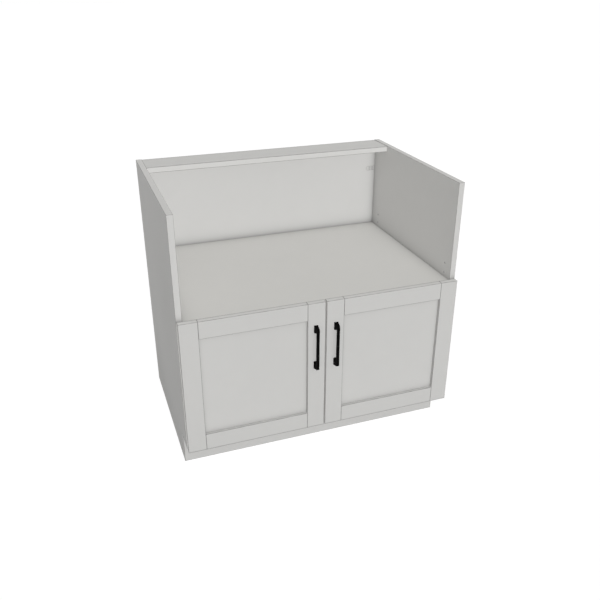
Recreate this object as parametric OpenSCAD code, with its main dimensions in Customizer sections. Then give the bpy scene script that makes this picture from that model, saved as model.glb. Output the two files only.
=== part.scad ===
// Farmhouse sink base cabinet: a frameless carcass with a low deck that carries an apron
// sink, two five-piece doors on concealed cup hinges, and a recessed toe kick.
// X runs across the front, Y from front to back, Z up from the floor.

/* [Cabinet] */
// Width over the two side panels
cab_w = 914.4; // [700:0.1:1200]
// Height of the side panels
cab_h = 876.3; // [820:0.1:960]
// Depth of the side panels, from front edge to rear edge
cab_d = 609.6; // [500:0.1:700]
// Thickness of the carcass boards
board_t = 19; // [18:0.5:22]
// Height of the deck's upper face, which the sink stands on
deck_z = 550.5; // [480:0.5:620]
// Height of the toe space under the bottom panel
toe_h = 101.6; // [80:0.1:130]
// Depth of the toe space behind the front edges of the sides
toe_in = 68; // [50:1:90]

/* [Back] */
// Thickness of the back panel
back_t = 12.7; // [12:0.1:19]
// Depth of the flat stretcher along the top of the back
stretcher_w = 112; // [80:1:150]
// How far the stretcher's upper face lies below the tops of the sides
stretcher_down = 1.5; // [0:0.5:4]
// Height of the stiffening rail under the deck's front edge
rail_h = 60; // [40:1:90]
// Thickness of the cleats that the deck rests on
cleat_t = 19; // [15:0.5:25]
// Height of the deck cleats
cleat_h = 38; // [30:1:50]

/* [Access port in the back] */
// Radius of each of the three bores that make one port
port_r = 8.2; // [5:0.1:12]
// Distance between the centres of neighbouring bores
port_pitch = 11; // [8:0.5:14]
// Distance from the side panel to the innermost bore
port_in = 27; // [24:0.5:40]
// Distance from the top of the cabinet down to the port
port_down = 106; // [90:1:160]
// Depth of the plug that closes the port
plug_t = 9; // [6:0.5:11]

/* [System holes] */
// Radius of the holes in the sides above the deck
hole_r = 2.5; // [2:0.1:4]
// Depth of these holes
hole_deep = 13; // [8:0.5:15]
// Distance from the front edge to the front pair of holes
hole_front = 37; // [30:0.5:60]
// Distance from the rear edge to the rear pair of holes
hole_rear = 65; // [50:0.5:120]
// Height of the lower holes above the deck
hole_up = 14.5; // [8:0.5:40]
// Distance between the holes of a pair
hole_pitch = 32; // [16:1:64]

/* [Doors] */
// Thickness of the door frame
door_t = 18; // [17:0.5:22]
// Space between the carcass and the back of a closed door
door_gap = 2.5; // [2:0.1:4]
// How far a door's outer edge stays inside the cabinet's side
door_reveal = 1.5; // [0.5:0.1:3]
// Space between the two doors
mid_gap = 4; // [2:0.1:6]
// How far the doors hang below the bottom panel
door_drop = 3; // [0:0.1:10]
// How far the doors' upper edge stands above the deck's upper face
door_rise = 4; // [0:0.1:8]
// Width of the stiles and rails
frame_w = 58; // [52:0.5:80]
// Thickness of the centre panel
panel_t = 6; // [4:0.5:7]
// How far the centre panel lies behind the door's front
recess = 10; // [8:0.1:11]
// Depth of the groove that holds the panel and the rails' tongues
groove = 10; // [6:0.5:10]

/* [Pulls] */
// Distance between the pull's two screws
pull_c = 128; // [96:32:160]
// Height of a foot where it meets the door
foot_h = 26; // [18:0.5:30]
// Width of a foot where it meets the door
foot_w = 13.5; // [8:0.5:16]
// Height of a foot where it meets the grip
tip_h = 15.5; // [8:0.5:18]
// Width of the grip
grip_w = 9; // [5:0.5:10]
// Thickness of the grip
grip_t = 7; // [4:0.5:9]
// Distance from the door's front to the front of the grip
reach = 22.5; // [18:0.5:40]
// Distance from the door's upper edge to the middle of the pull
pull_down = 153; // [110:1:200]
// Distance from the door's inner edge to the middle of the pull
pull_in = 31.5; // [15:0.5:40]

/* [Hinges] */
// Radius of a hinge cup
cup_r = 17.5; // [16:0.1:18]
// Depth of a hinge cup
cup_deep = 13.5; // [13:0.1:14]
// Depth of the hinge pin behind the door's back face
pin_deep = 10.2; // [9.5:0.1:10.5]
// Radius of the hinge pin
pin_r = 1.5; // [1.2:0.1:1.6]
// Room between the upper hinge and the rail or cleats above it
hinge_down = 14; // [4:1:60]
// Distance from the bottom panel up to the middle of the lower hinge
hinge_up = 78; // [40:1:120]
// Width of the hinge arm beside the mounting plate
arm_w = 14; // [12:0.5:16]
// Thickness of the hinge arm
arm_t = 2.5; // [2:0.1:3]
// Thickness of the mounting plate
plate_t = 2; // [1.5:0.1:3]
// Length of the mounting plate
plate_l = 48; // [40:1:60]
// Distance between the two screws of a plate
plate_c = 32; // [28:1:40]

/* [Fasteners] */
// Radius of the wooden dowels
dowel_r = 4; // [3:0.5:5]
// Length of the wooden dowels
dowel_l = 30; // [26:1:35]
// Radius of the cam locks
cam_r = 7.5; // [7:0.5:8]
// Distance from a panel's end to its cam locks
cam_in = 34; // [24:1:40]
// Radius of the wood screws
screw_r = 2; // [1.5:0.1:2.5]

/* [Hidden] */
$fn = 48;

// Room around a dowel, a screw or a bolt in its hole
fit = 0.05;
// Room between pieces that pass each other
clear = 0.3;
// Extra length of a cut that has to break through a face
cut = 1;
// Cross recess of a screw head, as shares of the head's radius and thickness
cross_l = 1.2;
cross_w = 0.25;
cross_h = 0.6;

// Colours of the finishes
paint = [0.78, 0.775, 0.76];
bare_wood = [0.8, 0.66, 0.48];
black = [0.1, 0.1, 0.095];
steel = [0.72, 0.73, 0.75];
zinc = [0.6, 0.61, 0.63];
felt = [0.85, 0.85, 0.83];

// Planes of the cabinet along Y: the pull's grip is the frontmost point, and the origin is
// in the middle of the whole depth
total_d = cab_d + door_gap + door_t + reach;
back_y = total_d / 2;
front_y = back_y - cab_d;
back_in = back_y - back_t;
door_back = front_y - door_gap;
door_front = door_back - door_t;

// Planes of the carcass along X and Z
side_out = cab_w / 2;
side_in = side_out - board_t;
deck_under = deck_z - board_t;
stretcher_z = cab_h - stretcher_down - board_t;
cleat_z = deck_under - cleat_h;

// Where the toe kick board stands: its back face is the sides' notch
toe_front = front_y + toe_in;
toe_back = toe_front + board_t;

// Left door, which the right one mirrors
door_out = -side_out + door_reveal;
door_mid = -mid_gap / 2;
door_low = toe_h - door_drop;
door_top = deck_z + door_rise;
tongue = groove - clear;
groove_y = door_front + recess;

// Solid stretch of a stile above and below its groove
haunch = 14;

// Pull on the left door, near the middle of its stile
pull_x = door_mid - pull_in;
pull_z = door_top - pull_down;
pull_hole_r = screw_r + 2 * fit;
pull_bore_deep = 12;
pull_head_r = 4;
pull_head_t = door_gap - 2 * clear;
fillet_r = 3.5;

// Hinge: the pin lies so far in from the door's outer edge that the door's back corner
// swings past the side panel with this room to spare
swing_room = 0.35;
pin_in = sqrt(pow(pin_deep + door_gap - swing_room, 2) - pow(pin_deep, 2));
corner_r = sqrt(pow(pin_in, 2) + pow(pin_deep, 2));
pin_x = door_out + pin_in;
pin_y = door_back - pin_deep;

// Mounting plate and its screws, measured from the carcass front
plate_start = 14;
wing_w = 12;
wing_over = 7;
arm_screw_y = 52;
plate_screw_l = 14;
head_t = 1.8;
head_over = 1.5;

// Heights of the hinges: under whichever of the rail and the cleats reaches further down
hinge_head = max(rail_h + arm_w / 2, cleat_h + plate_c / 2 + wing_over) + hinge_down;
hinge_zs = [toe_h + board_t + hinge_up, deck_under - hinge_head];

// Shape of the cup, measured from the pin: X towards the door's middle, Y towards the back
cup_lip = 4;
cup_x = cup_r - cup_lip;
flange_t = 1;
flange_over = 0.5;
flange_r = cup_r + flange_over;
ear_out = 6;
ear_x = cup_x + ear_out;
ear_r = 6;
ear_c = 48;
pocket_x = 4;
pocket_end = 22;
knuckle_w = 7;
knuckle_wall = 0.7;
knuckle_r = pin_r + knuckle_wall;
pocket_low = -knuckle_r - clear;
pin_l = 2 * (sqrt(pow(cup_r - fit, 2) - pow(cup_x + pin_r, 2)) - clear);
cup_screw_l = 10;
cup_screw_r = 1.6;
cup_head_t = door_gap - flange_t - clear;

// Shape of the arm, measured from the pin
leg_x = corner_r + clear;
bar_top = 1.2;
wide_from = 3;
crank_y = pin_deep + door_gap + clear;
crank_l = 4;
arm_end = pin_deep + door_gap + plate_start + plate_l - wing_over;
plate_x = -side_in + plate_t - pin_x;

// Bumpers between door and carcass
bumper_r = 4;
bumper_in = 14;
bumper_t = door_gap - clear;

// Dowels: half sits in the side panel, half in the end of the other board
dowel_side = 12;
dowel_board = dowel_l - dowel_side;
dowel_room = 0.5;
board_inset = 55;
cam_inset = 90;
narrow_inset = 18;
toe_inset = 30;
back_count = 3;
board_ends = [front_y + board_inset, (front_y + back_in) / 2, back_in - board_inset];
cam_ends = [front_y + cam_inset, back_in - cam_inset];
stretcher_ends = [back_y - stretcher_w + narrow_inset, back_y - narrow_inset];
stretcher_cam = back_y - stretcher_w / 2;
back_step = (stretcher_z - toe_h) / back_count;
back_ends = [for (i = [0:back_count - 1]) toe_h + back_step * (i + 0.5)];
rail_ends = [deck_under - rail_h * 3 / 4, deck_under - rail_h / 4];
toe_ends = [toe_inset, toe_h - toe_inset];

// Cam bolts and locks
bolt_r = 3;
bolt_side = 11;
bolt_head_r = 3.5;
bolt_head_l = 3;
cam_h = 14;
cam_mouth_r = 3.9;

// Screws of the deck's cleats: the board behind a cleat keeps some wood past a screw's tip
tip_wood = 3.7;
cleat_screw_l = cleat_t + min(back_t, board_t) - tip_wood;
deck_screw_l = 30;
deck_screw_grip = 18;
cleat_inset = 60;
deck_inset = 130;
screw_head_r = 3.8;
screw_head_t = 2.2;
cleat_low_y = front_y + board_t;
cleat_high_y = back_in - cleat_t;
cleat_rows = [cleat_low_y + cleat_inset, (cleat_low_y + cleat_high_y) / 2, cleat_high_y - cleat_inset];
back_rows = [-side_in / 2, 0, side_in / 2];
deck_rows = [cleat_low_y + deck_inset, cleat_high_y - deck_inset];

// Puts what is drawn for the left half on the left, or mirrors it to the right
module on_side(side) {
    mirror([side > 0 ? 1 : 0, 0, 0]) children();
}

// Draws a piece once on each side
module both_sides() {
    children();
    mirror([1, 0, 0]) children();
}

// Board between two corners
module board(low, high) {
    translate(low) cube(high - low);
}

// Round bar or bore that starts at a point and runs along X, Y or Z
module along_x(at, r, l) {
    translate(at) rotate([0, 90, 0]) cylinder(r = r, h = l);
}

module along_y(at, r, l) {
    translate(at) rotate([-90, 0, 0]) cylinder(r = r, h = l);
}

module along_z(at, r, l) {
    translate(at) cylinder(r = r, h = l);
}

// Countersunk wood screw that points along +Z from the face of its head, with a cross
// recess in the head
module wood_screw(r, l, head_r, head_h) {
    difference() {
        union() {
            cylinder(r1 = head_r, r2 = r, h = head_h);
            cylinder(r = r, h = l);
        }
        cross(head_r, head_h);
    }
}

// Cross recess in a head whose face is at the origin, cut towards +Z
module cross(head_r, head_h) {
    half_l = head_r * cross_l / 2;
    half_w = head_r * cross_w / 2;
    board([-half_l, -half_w, -cut], [half_l, half_w, head_h * cross_h]);
    board([-half_w, -half_l, -cut], [half_w, half_l, head_h * cross_h]);
}

// The hole that such a screw sits in
module screw_hole(r, l, head_r, head_h) {
    cylinder(r1 = head_r + fit, r2 = r + fit, h = head_h);
    cylinder(r = r + fit, h = l + clear);
    translate([0, 0, -cut]) cylinder(r = head_r + fit, h = cut);
}

// Places of the carcass fasteners, on the left side
module at_dowels() {
    for (y = board_ends) translate([-side_in, y, toe_h + board_t / 2]) children();
    for (y = stretcher_ends) translate([-side_in, y, stretcher_z + board_t / 2]) children();
    for (z = back_ends) translate([-side_in, back_in + back_t / 2, z]) children();
    for (z = rail_ends) translate([-side_in, front_y + board_t / 2, z]) children();
}

module at_toe_dowels() {
    for (z = toe_ends) translate([-side_out + board_t / 2, toe_back, z]) children();
}

module at_bolts() {
    for (y = cam_ends) translate([-side_in, y, toe_h + board_t / 2]) children();
    translate([-side_in, stretcher_cam, stretcher_z + board_t / 2]) children();
}

module at_cleat_screws() {
    for (y = cleat_rows) {
        translate([-side_in + cleat_t, y, cleat_z + cleat_h / 2]) rotate([0, -90, 0]) children();
    }
}

module at_back_screws() {
    for (x = back_rows) {
        translate([x, back_in - cleat_t, cleat_z + cleat_h / 2]) rotate([-90, 0, 0]) children();
    }
}

module at_deck_screws() {
    for (y = deck_rows) {
        translate([-side_in + cleat_t / 2, y, deck_under - deck_screw_grip]) children();
    }
}

module at_hinges() {
    for (z = hinge_zs) translate([pin_x, pin_y, z]) children();
}

module at_plate_screws() {
    for (z = hinge_zs, s = [-0.5, 0.5]) {
        translate([-side_in + plate_t, front_y + hole_front, z + s * plate_c])
            rotate([0, -90, 0]) children();
    }
}

// Bores for dowels: into the side panel towards -X, and into the board's end towards +X
module dowel_bores() {
    at_dowels() along_x([-dowel_side - dowel_room, 0, 0], dowel_r + fit, dowel_l + 2 * dowel_room);
}

module toe_dowel_bores() {
    at_toe_dowels() along_y([0, -dowel_side - dowel_room, 0], dowel_r + fit, dowel_l + 2 * dowel_room);
}

module bolt_bores() {
    at_bolts() {
        along_x([-bolt_side - clear, 0, 0], bolt_r + fit, cut + bolt_side + clear);
        along_x([0, 0, 0], bolt_head_r + fit, cam_in);
    }
}

module cam_bores() {
    at_bolts() along_z([cam_in, 0, -board_t / 2 - cut], cam_r + fit, cam_h + clear + cut);
}

// One side panel, cut away at the toe and bored on its inner face
module side_panel() {
    hole_zs = [deck_z + hole_up, deck_z + hole_up + hole_pitch];
    hole_ys = [front_y + hole_front, back_y - hole_rear];
    difference() {
        board([-side_out, front_y, 0], [-side_in, back_y, cab_h]);
        board([-side_out - cut, front_y - cut, -cut], [-side_in + cut, toe_back, toe_h]);
        for (y = hole_ys, z = hole_zs) {
            along_x([-side_in - hole_deep, y, z], hole_r, hole_deep + cut);
        }
        dowel_bores();
        toe_dowel_bores();
        bolt_bores();
        at_cleat_screws() screw_hole(screw_r, cleat_screw_l, screw_head_r, screw_head_t);
        at_plate_screws() cylinder(r = hole_r, h = plate_screw_l + clear);
    }
}

module side_left() {
    color(paint) side_panel();
}

module side_right() {
    color(paint) on_side(1) side_panel();
}

// Floor of the cupboard, between the sides and in front of the back
module bottom_panel() {
    color(paint) difference() {
        board([-side_in, front_y, toe_h], [side_in, back_in, toe_h + board_t]);
        both_sides() {
            dowel_bores();
            bolt_bores();
            cam_bores();
        }
    }
}

// Deck that the sink stands on, screwed down from below through its cleats
module sink_deck() {
    color(paint) difference() {
        board([-side_in, front_y, deck_under], [side_in, back_in, deck_z]);
        both_sides() at_deck_screws() screw_hole(screw_r, deck_screw_l, screw_head_r, screw_head_t);
    }
}

// Rail on edge under the front of the deck
module deck_rail() {
    color(paint) difference() {
        board([-side_in, front_y, deck_under - rail_h], [side_in, front_y + board_t, deck_under]);
        both_sides() dowel_bores();
    }
}

// Cleat on the side panel, with counterbores for the screws that go up into the deck
module side_cleat() {
    difference() {
        board([-side_in, cleat_low_y, cleat_z], [-side_in + cleat_t, back_in, deck_under]);
        at_cleat_screws() screw_hole(screw_r, cleat_screw_l, screw_head_r, screw_head_t);
        at_deck_screws() {
            screw_hole(screw_r, deck_screw_l, screw_head_r, screw_head_t);
            along_z([0, 0, -cleat_h], screw_head_r + clear, cleat_h);
        }
    }
}

module deck_cleat_left() {
    color(bare_wood) side_cleat();
}

module deck_cleat_right() {
    color(bare_wood) on_side(1) side_cleat();
}

module deck_cleat_back() {
    color(bare_wood) difference() {
        board([-side_in + cleat_t, back_in - cleat_t, cleat_z], [side_in - cleat_t, back_in, deck_under]);
        at_back_screws() screw_hole(screw_r, cleat_screw_l, screw_head_r, screw_head_t);
    }
}

// Three overlapping bores beside the side panel, with r and the depth as asked
module port(r, y, l) {
    for (i = [0:2]) {
        along_y([-side_in + port_in - i * port_pitch, y, cab_h - port_down], r, l);
    }
}

// Back, between the sides and under the stretcher
module back_panel() {
    color(paint) difference() {
        board([-side_in, back_in, toe_h], [side_in, back_y, stretcher_z]);
        both_sides() {
            dowel_bores();
            port(port_r, back_in - cut, back_t + 2 * cut);
        }
        at_back_screws() screw_hole(screw_r, cleat_screw_l, screw_head_r, screw_head_t);
    }
}

// Plugs that close the two ports flush with the back's front face
module port_plugs() {
    color(paint) both_sides() intersection() {
        port(port_r - clear, back_in, plug_t);
        board([-side_in + clear, back_in, 0], [0, back_y, cab_h]);
    }
}

// Stretcher that lies flat along the top of the back
module top_stretcher() {
    color(paint) difference() {
        board([-side_in, back_y - stretcher_w, stretcher_z], [side_in, back_y, stretcher_z + board_t]);
        both_sides() {
            dowel_bores();
            bolt_bores();
            cam_bores();
        }
    }
}

// Toe kick board, as wide as the cabinet, in front of the sides' notches
module toe_kick() {
    color(paint) difference() {
        board([-side_out, toe_front, 0], [side_out, toe_back, toe_h]);
        both_sides() toe_dowel_bores();
    }
}

module wood_dowels() {
    color(bare_wood) both_sides() {
        at_dowels() along_x([-dowel_side, 0, 0], dowel_r, dowel_l);
        at_toe_dowels() along_y([0, -dowel_side, 0], dowel_r, dowel_l);
    }
}

// Bolts that stand in the sides and reach into the cams
module cam_bolts() {
    color(steel) both_sides() at_bolts() {
        along_x([-bolt_side, 0, 0], bolt_r, bolt_side + cam_in - bolt_head_l / 2);
        along_x([cam_in - bolt_head_l, 0, 0], bolt_head_r, bolt_head_l);
    }
}

// Cam locks, each with the mouth that takes the head of its bolt
module cam_locks() {
    color(zinc) both_sides() at_bolts() difference() {
        along_z([cam_in, 0, -board_t / 2], cam_r, cam_h);
        along_x([cam_in - cam_r - cut, 0, 0], cam_mouth_r, cam_r + cut + bolt_head_l);
    }
}

module cleat_screws() {
    color(steel) {
        both_sides() at_cleat_screws() wood_screw(screw_r, cleat_screw_l, screw_head_r, screw_head_t);
        at_back_screws() wood_screw(screw_r, cleat_screw_l, screw_head_r, screw_head_t);
    }
}

module deck_screws() {
    color(steel) both_sides() at_deck_screws()
        wood_screw(screw_r, deck_screw_l, screw_head_r, screw_head_t);
}

// Slot in a door's frame for the centre panel and the rails' tongues
module groove_cut(low, high) {
    board([low[0], groove_y - fit, low[1]], [high[0], groove_y + panel_t + fit, high[1]]);
}

// Stile at the hinges, bored for the cups
module hinge_stile() {
    inner = door_out + frame_w;
    difference() {
        board([door_out, door_front, door_low], [inner, door_back, door_top]);
        groove_cut([inner - groove, door_low + haunch], [inner + cut, door_top - haunch]);
        at_hinges() {
            along_y([cup_x, pin_deep - cup_deep - clear, 0], cup_r + fit, cup_deep + clear + cut);
            at_cup_screws() cylinder(r = cup_screw_r + fit, h = cup_screw_l + clear);
        }
    }
}

// Stile at the middle of the cabinet, drilled for the pull
module pull_stile() {
    inner = door_mid - frame_w;
    difference() {
        board([inner, door_front, door_low], [door_mid, door_back, door_top]);
        groove_cut([inner - cut, door_low + haunch], [inner + groove, door_top - haunch]);
        at_pull_screws() along_y([0, -door_t - cut, 0], pull_hole_r, door_t + 2 * cut);
    }
}

// Rail between the stiles, with a tongue at each end and a groove towards the panel
module rail(low, groove_low, tongue_low) {
    left = door_out + frame_w;
    right = door_mid - frame_w;
    tongue_h = frame_w - haunch - clear;
    difference() {
        union() {
            board([left, door_front, low], [right, door_back, low + frame_w]);
            board([left - tongue, groove_y, tongue_low],
                [right + tongue, groove_y + panel_t, tongue_low + tongue_h]);
        }
        groove_cut([left - groove, groove_low], [right + groove, groove_low + groove + cut]);
    }
}

module top_rail() {
    low = door_top - frame_w;
    rail(low, low - cut, low);
}

module bottom_rail() {
    high = door_low + frame_w;
    rail(door_low, high - groove, door_low + haunch + clear);
}

// Centre panel, free to move a little in its grooves
module door_panel() {
    board([door_out + frame_w - tongue, groove_y, door_low + frame_w - tongue],
        [door_mid - frame_w + tongue, groove_y + panel_t, door_top - frame_w + tongue]);
}

module at_pull_screws() {
    for (s = [-0.5, 0.5]) translate([pull_x, door_back, pull_z + s * pull_c]) children();
}

// Quarter-round filling for an inside corner at the origin, let into both walls
module corner_fill(r) {
    difference() {
        translate([-cut, -cut]) square(r + cut);
        translate([r, r]) circle(r = r);
    }
}

// Side view of the pull: first coordinate away from the door, second up from its middle
module pull_profile() {
    low = (pull_c + foot_h) / 2;
    high = (pull_c + tip_h) / 2;
    difference() {
        polygon([[0, low], [reach, high], [reach, -high], [0, -low]]);
        finger_gap();
    }
}

// Gap behind the grip, with rounded corners where the feet meet it
module finger_gap() {
    under = reach - grip_t;
    low = (pull_c - foot_h) / 2;
    high = (pull_c - tip_h) / 2;
    difference() {
        polygon([[-cut, low], [0, low], [under, high], [under, -high], [0, -low], [-cut, -low]]);
        for (s = [0, 1]) {
            mirror([0, s]) translate([under, high]) rotate(180) corner_fill(fillet_r);
        }
    }
}

// The same pull seen from above: wide at the door, narrow at the grip
module pull_section() {
    under = reach - grip_t;
    polygon([
        [-foot_w / 2, 0], [foot_w / 2, 0], [grip_w / 2, -under], [grip_w / 2, -reach],
        [-grip_w / 2, -reach], [-grip_w / 2, -under]
    ]);
}

module pull() {
    span = pull_c + foot_h;
    translate([pull_x, door_front, pull_z]) difference() {
        intersection() {
            rotate([90, 0, -90]) translate([0, 0, -foot_w]) linear_extrude(2 * foot_w) pull_profile();
            translate([0, 0, -span]) linear_extrude(2 * span) pull_section();
        }
        for (s = [-0.5, 0.5]) {
            along_y([0, -pull_bore_deep, s * pull_c], screw_r + fit, pull_bore_deep + cut);
        }
    }
}

// Machine screws from the back of the door into the pull's feet
module pull_screws() {
    shank = door_t + pull_bore_deep - clear;
    at_pull_screws() difference() {
        union() {
            along_y([0, -shank, 0], screw_r, shank + pull_head_t / 2);
            along_y([0, 0, 0], pull_head_r, pull_head_t);
        }
        translate([0, pull_head_t, 0]) rotate([90, 0, 0]) cross(pull_head_r, pull_head_t / 2);
    }
}

module at_cup_screws() {
    for (s = [-0.5, 0.5]) translate([ear_x, pin_deep, s * ear_c]) rotate([90, 0, 0]) children();
}

// Hinge cup: a round body in the door, a flange with two ears on it, and a pocket for the arm
module hinge_cup() {
    difference() {
        union() {
            along_y([cup_x, pin_deep - cup_deep, 0], cup_r - fit, cup_deep + fit);
            along_y([cup_x, pin_deep, 0], flange_r, flange_t);
            for (s = [-0.5, 0.5]) along_y([ear_x, pin_deep, s * ear_c], ear_r, flange_t);
            board([ear_x - ear_r, pin_deep, -ear_c / 2], [ear_x + ear_r, pin_deep + flange_t, ear_c / 2]);
        }
        board([pocket_low, pocket_low, -knuckle_w / 2 - clear],
            [pocket_x + cut, pin_deep + flange_t + cut, knuckle_w / 2 + clear]);
        board([pocket_x, pocket_low, -arm_w / 2 - clear],
            [pocket_end, pin_deep + flange_t + cut, arm_w / 2 + clear]);
        along_z([0, 0, -cup_r], pin_r + fit / 2, 2 * cup_r);
        for (s = [-0.5, 0.5]) {
            along_y([ear_x, pin_deep - cut, s * ear_c], cup_screw_r + fit, flange_t + 2 * cut);
        }
    }
}

// Pan-head screw that holds a cup's ear, pointing along +Z into the door
module cup_screw() {
    translate([0, 0, -flange_t - cup_head_t]) difference() {
        union() {
            cylinder(r = cup_screw_r + head_over, h = cup_head_t);
            cylinder(r = cup_screw_r, h = cup_head_t + flange_t + cup_screw_l);
        }
        cross(cup_screw_r + head_over, cup_head_t);
    }
}

// Hinge arm: an eye on the pin, a bar along the cup's floor, a leg out of the cup and a
// strip over the mounting plate
module hinge_arm() {
    strip_low = min(leg_x, plate_x);
    strip_high = max(leg_x, plate_x) + arm_t;
    hole_y = pin_deep + door_gap + arm_screw_y;
    difference() {
        union() {
            along_z([0, 0, -knuckle_w / 2], knuckle_r, knuckle_w);
            board([0, -knuckle_r, -knuckle_w / 2], [leg_x + arm_t, bar_top, knuckle_w / 2]);
            board([leg_x, -knuckle_r, -knuckle_w / 2], [leg_x + arm_t, wide_from + cut, knuckle_w / 2]);
            board([leg_x, wide_from, -arm_w / 2], [leg_x + arm_t, crank_y + crank_l, arm_w / 2]);
            board([strip_low, crank_y, -arm_w / 2], [strip_high, crank_y + crank_l, arm_w / 2]);
            board([plate_x, crank_y, -arm_w / 2], [plate_x + arm_t, arm_end, arm_w / 2]);
        }
        along_z([0, 0, -knuckle_w], pin_r + fit, 2 * knuckle_w);
        along_x([plate_x - cut, hole_y, 0], screw_r + clear, arm_t + 2 * cut + clear);
    }
}

// Mounting plate on the side panel, with a wing above and below for its screws
module hinge_plate() {
    low = front_y + plate_start;
    row = front_y + hole_front;
    difference() {
        union() {
            board([-side_in, low, -arm_w / 2], [-side_in + plate_t, low + plate_l, arm_w / 2]);
            board([-side_in, row - wing_w / 2, -plate_c / 2 - wing_over],
                [-side_in + plate_t, row + wing_w / 2, plate_c / 2 + wing_over]);
        }
        along_x([-side_in - cut, front_y + arm_screw_y, 0], screw_r + fit, plate_t + 2 * cut);
        for (s = [-0.5, 0.5]) {
            along_x([-side_in - cut, row, s * plate_c], hole_r + fit, plate_t + 2 * cut);
        }
    }
}

module plates() {
    for (z = hinge_zs) translate([0, 0, z]) hinge_plate();
}

// System screws that hold the plates, with a low round head
module hinge_plate_screws() {
    color(zinc) both_sides() at_plate_screws() {
        translate([0, 0, -head_t]) difference() {
            union() {
                cylinder(r = hole_r + head_over, h = head_t);
                cylinder(r = hole_r - fit, h = head_t + plate_screw_l);
            }
            cross(hole_r + head_over, head_t);
        }
    }
}

// Screws that clamp the arms to the plates
module hinge_arm_screws() {
    face = -side_in + plate_t + arm_t + head_t;
    length = head_t + arm_t + plate_t - clear;
    color(zinc) both_sides() for (z = hinge_zs) {
        translate([face, front_y + arm_screw_y, z]) rotate([0, -90, 0]) difference() {
            union() {
                cylinder(r = screw_r + 2 * head_over, h = head_t);
                cylinder(r = screw_r, h = length);
            }
            cross(screw_r + 2 * head_over, head_t);
        }
    }
}

module hinge_pins() {
    at_hinges() along_z([0, 0, -pin_l / 2], pin_r, pin_l);
}

// Soft pads on the back of the door, facing the edges of the deck and the bottom panel
module bumpers() {
    for (z = [toe_h + board_t / 2, deck_z - board_t / 2]) {
        along_y([door_mid - bumper_in, door_back, z], bumper_r, bumper_t);
    }
}

module left_hinge_stile() { color(paint) hinge_stile(); }
module left_pull_stile() { color(paint) pull_stile(); }
module left_top_rail() { color(paint) top_rail(); }
module left_bottom_rail() { color(paint) bottom_rail(); }
module left_door_panel() { color(paint) door_panel(); }
module left_pull() { color(black) pull(); }
module left_pull_screws() { color(steel) pull_screws(); }
module left_hinge_cups() { color(zinc) at_hinges() hinge_cup(); }
module left_hinge_pins() { color(steel) hinge_pins(); }
module left_cup_screws() { color(steel) at_hinges() at_cup_screws() cup_screw(); }
module left_bumpers() { color(felt) bumpers(); }
module left_hinge_arms() { color(zinc) at_hinges() hinge_arm(); }
module left_hinge_plates() { color(zinc) plates(); }

module right_hinge_stile() { color(paint) on_side(1) hinge_stile(); }
module right_pull_stile() { color(paint) on_side(1) pull_stile(); }
module right_top_rail() { color(paint) on_side(1) top_rail(); }
module right_bottom_rail() { color(paint) on_side(1) bottom_rail(); }
module right_door_panel() { color(paint) on_side(1) door_panel(); }
module right_pull() { color(black) on_side(1) pull(); }
module right_pull_screws() { color(steel) on_side(1) pull_screws(); }
module right_hinge_cups() { color(zinc) on_side(1) at_hinges() hinge_cup(); }
module right_hinge_pins() { color(steel) on_side(1) hinge_pins(); }
module right_cup_screws() { color(steel) on_side(1) at_hinges() at_cup_screws() cup_screw(); }
module right_bumpers() { color(felt) on_side(1) bumpers(); }
module right_hinge_arms() { color(zinc) on_side(1) at_hinges() hinge_arm(); }
module right_hinge_plates() { color(zinc) on_side(1) plates(); }

side_left();
side_right();
bottom_panel();
sink_deck();
deck_rail();
deck_cleat_left();
deck_cleat_right();
deck_cleat_back();
back_panel();
port_plugs();
top_stretcher();
toe_kick();
wood_dowels();
cam_bolts();
cam_locks();
cleat_screws();
deck_screws();
left_hinge_stile();
left_pull_stile();
left_top_rail();
left_bottom_rail();
left_door_panel();
left_pull();
left_pull_screws();
left_hinge_cups();
left_hinge_pins();
left_cup_screws();
left_bumpers();
right_hinge_stile();
right_pull_stile();
right_top_rail();
right_bottom_rail();
right_door_panel();
right_pull();
right_pull_screws();
right_hinge_cups();
right_hinge_pins();
right_cup_screws();
right_bumpers();
left_hinge_arms();
left_hinge_plates();
right_hinge_arms();
right_hinge_plates();
hinge_plate_screws();
hinge_arm_screws();
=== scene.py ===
import math
from types import SimpleNamespace
import bmesh
import bpy
import numpy as np
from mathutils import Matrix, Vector
from mathutils.geometry import tessellate_polygon


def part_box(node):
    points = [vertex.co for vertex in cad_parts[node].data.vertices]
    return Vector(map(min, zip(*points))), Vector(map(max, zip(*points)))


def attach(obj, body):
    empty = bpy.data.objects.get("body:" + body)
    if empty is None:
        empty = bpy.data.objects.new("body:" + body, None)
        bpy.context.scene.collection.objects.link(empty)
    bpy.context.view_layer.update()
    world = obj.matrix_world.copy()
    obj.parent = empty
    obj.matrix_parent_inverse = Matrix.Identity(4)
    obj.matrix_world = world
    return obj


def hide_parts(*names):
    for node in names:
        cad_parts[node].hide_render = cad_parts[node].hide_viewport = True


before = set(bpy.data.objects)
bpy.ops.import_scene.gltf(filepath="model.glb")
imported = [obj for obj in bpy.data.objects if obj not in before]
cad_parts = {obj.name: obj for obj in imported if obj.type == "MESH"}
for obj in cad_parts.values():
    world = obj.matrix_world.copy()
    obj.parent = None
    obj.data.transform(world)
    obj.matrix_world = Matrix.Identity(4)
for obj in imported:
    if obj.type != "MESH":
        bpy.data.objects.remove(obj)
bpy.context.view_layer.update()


# Viewpoint
# The photograph looks down at the cabinet from the left of its middle. The place in metres,
# the angles in radians and the focal length come from the straight edges of the boards.
cam_place = (-0.69888, -2.03134, 1.47717)
cam_down = 0.45781
cam_turn = 0.34099
focal_px = 683.12
photo_px = 600
sensor_w = 36
quarter_turn = math.pi / 2

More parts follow.
